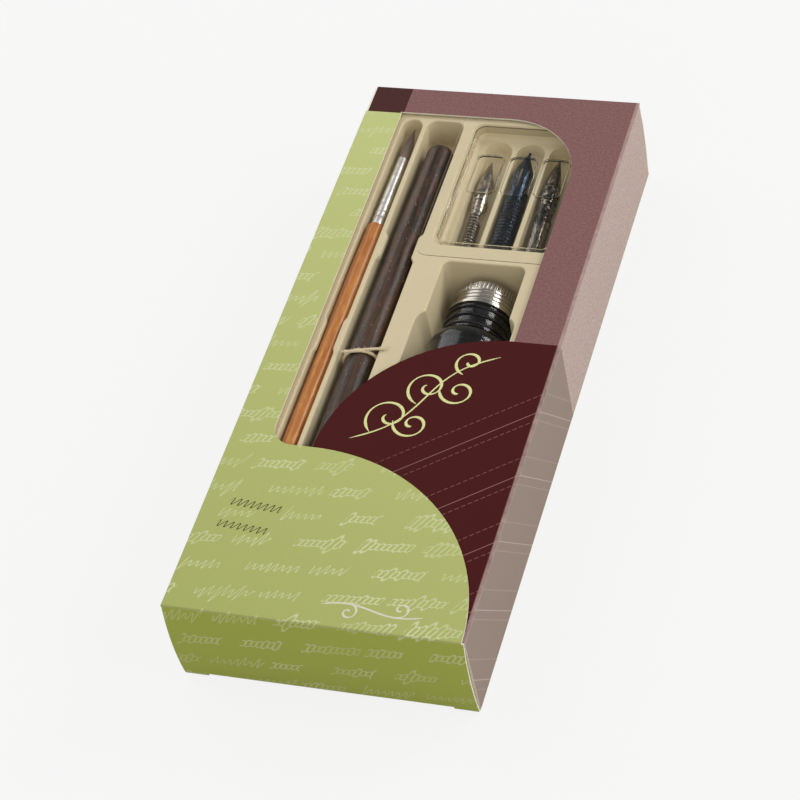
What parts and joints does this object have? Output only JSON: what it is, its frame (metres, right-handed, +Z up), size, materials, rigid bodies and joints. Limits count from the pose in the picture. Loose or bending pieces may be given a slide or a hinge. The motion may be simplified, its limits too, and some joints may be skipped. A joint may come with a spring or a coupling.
{
  "type": "calligraphy set box",
  "caption": "Flat windowed carton with tuck-end flaps and a formed tray that holds a pen holder, a brush, nibs under a clear cover, and a capped ink bottle.",
  "frame": {"origin": "middle of the back panel's outer face, on which the box lies", "axes": "+X across the carton to the right, +Y along the pens towards the brush tip, +Z up out of the window"},
  "size_m": [0.0802, 0.1996, 0.0285],
  "materials": {
    "board_overlay": "satin printed board",
    "board_window": "satin printed board",
    "board_side": "satin printed board",
    "board_plain": "uncoated board",
    "tray_plastic": "soft satin, vacuum formed",
    "clear_sheet": "clear formed sheet",
    "nib_bronze": "bronzed steel",
    "nib_blue": "blued steel, polished",
    "nib_dark": "dark steel",
    "barrel_wood": "dark stained wood",
    "socket_steel": "sprung steel",
    "twine": "natural twine",
    "handle_wood": "varnished wood",
    "ferrule_metal": "polished",
    "hair": "natural hair",
    "bottle_glass": "clear glass",
    "ink": "liquid ink, gloss",
    "cap_metal": "bright, knurled",
    "liner": "foamed liner"
  },
  "bodies": {
    "pack": {"back_panel": "board_plain", "left_side_panel": "board_overlay", "right_side_panel": "board_side", "window_panel": "board_window", "front_overlay_panel": "board_overlay", "tray": "tray_plastic", "nib_cover": "clear_sheet", "nib_waisted": "nib_bronze", "nib_broad": "nib_blue", "nib_embossed": "nib_dark", "pen_holder_barrel": "barrel_wood", "pen_holder_socket": "socket_steel", "pen_holder_tie": "twine", "brush_handle": "handle_wood", "brush_ferrule": "ferrule_metal", "brush_hair": "hair", "bottle_glass": "bottle_glass", "bottle_ink": "ink"},
    "bottom_closure": {"bottom_closure": "board_overlay"},
    "bottom_tuck_tab": {"bottom_tuck_tab": "board_plain"},
    "top_closure": {"top_closure": "board_window"},
    "top_tuck_tab": {"top_tuck_tab": "board_plain"},
    "dust_flap_bottom_left": {"dust_flap_bottom_left": "board_plain"},
    "dust_flap_bottom_right": {"dust_flap_bottom_right": "board_plain"},
    "dust_flap_top_left": {"dust_flap_top_left": "board_plain"},
    "dust_flap_top_right": {"dust_flap_top_right": "board_plain"},
    "bottle_cap": {"bottle_cap": "cap_metal"},
    "cap_liner": {"cap_liner": "liner"}
  },
  "joints": [
    {"name": "bottom_closure_open", "type": "hinge", "parent": "pack", "child": "bottom_closure", "pos_m": [0, -0.09865, 0.0285], "axis": [-1, 0, 0], "range_deg": [0, 100]},
    {"name": "bottom_tab_fold", "type": "hinge", "parent": "bottom_closure", "child": "bottom_tuck_tab", "pos_m": [0, -0.09785, 0.00135], "axis": [1, 0, 0], "range_deg": [0, 68]},
    {"name": "dust_flap_bottom_left_open", "type": "hinge", "parent": "pack", "child": "dust_flap_bottom_left", "pos_m": [-0.0393, -0.0977, 0.015], "axis": [0, 0, -1], "range_deg": [0, 35]},
    {"name": "dust_flap_bottom_right_open", "type": "hinge", "parent": "pack", "child": "dust_flap_bottom_right", "pos_m": [0.0393, -0.0977, 0.015], "axis": [0, 0, 1], "range_deg": [0, 35]},
    {"name": "top_closure_open", "type": "hinge", "parent": "pack", "child": "top_closure", "pos_m": [0, 0.09865, 0.028], "axis": [1, 0, 0], "range_deg": [0, 100]},
    {"name": "top_tab_fold", "type": "hinge", "parent": "top_closure", "child": "top_tuck_tab", "pos_m": [0, 0.09785, 0.00135], "axis": [-1, 0, 0], "range_deg": [0, 68]},
    {"name": "dust_flap_top_left_open", "type": "hinge", "parent": "pack", "child": "dust_flap_top_left", "pos_m": [-0.0393, 0.0977, 0.015], "axis": [0, 0, 1], "range_deg": [0, 35]},
    {"name": "dust_flap_top_right_open", "type": "hinge", "parent": "pack", "child": "dust_flap_top_right", "pos_m": [0.0393, 0.0977, 0.015], "axis": [0, 0, -1], "range_deg": [0, 35]},
    {"name": "cap_rise", "type": "slide", "parent": "pack", "child": "cap_liner", "axis": [0, 1, 0], "range_m": [0, 0.002]},
    {"name": "cap_turn", "type": "hinge", "parent": "cap_liner", "child": "bottle_cap", "pos_m": [0.0113, 0.019, 0.01425], "axis": [0, 1, 0], "range_deg": [0, 360]}
  ],
  "couplings": [
    {"joint": "bottom_tab_fold", "follows": "bottom_closure_open", "ratio": 0.68},
    {"joint": "dust_flap_bottom_left_open", "follows": "bottom_closure_open", "ratio": 0.35},
    {"joint": "dust_flap_bottom_right_open", "follows": "bottom_closure_open", "ratio": 0.35},
    {"joint": "top_tab_fold", "follows": "top_closure_open", "ratio": 0.68},
    {"joint": "dust_flap_top_left_open", "follows": "top_closure_open", "ratio": 0.35},
    {"joint": "dust_flap_top_right_open", "follows": "top_closure_open", "ratio": 0.35},
    {"joint": "cap_turn", "follows": "cap_rise", "rad_per_m": 3141.6}
  ]
}
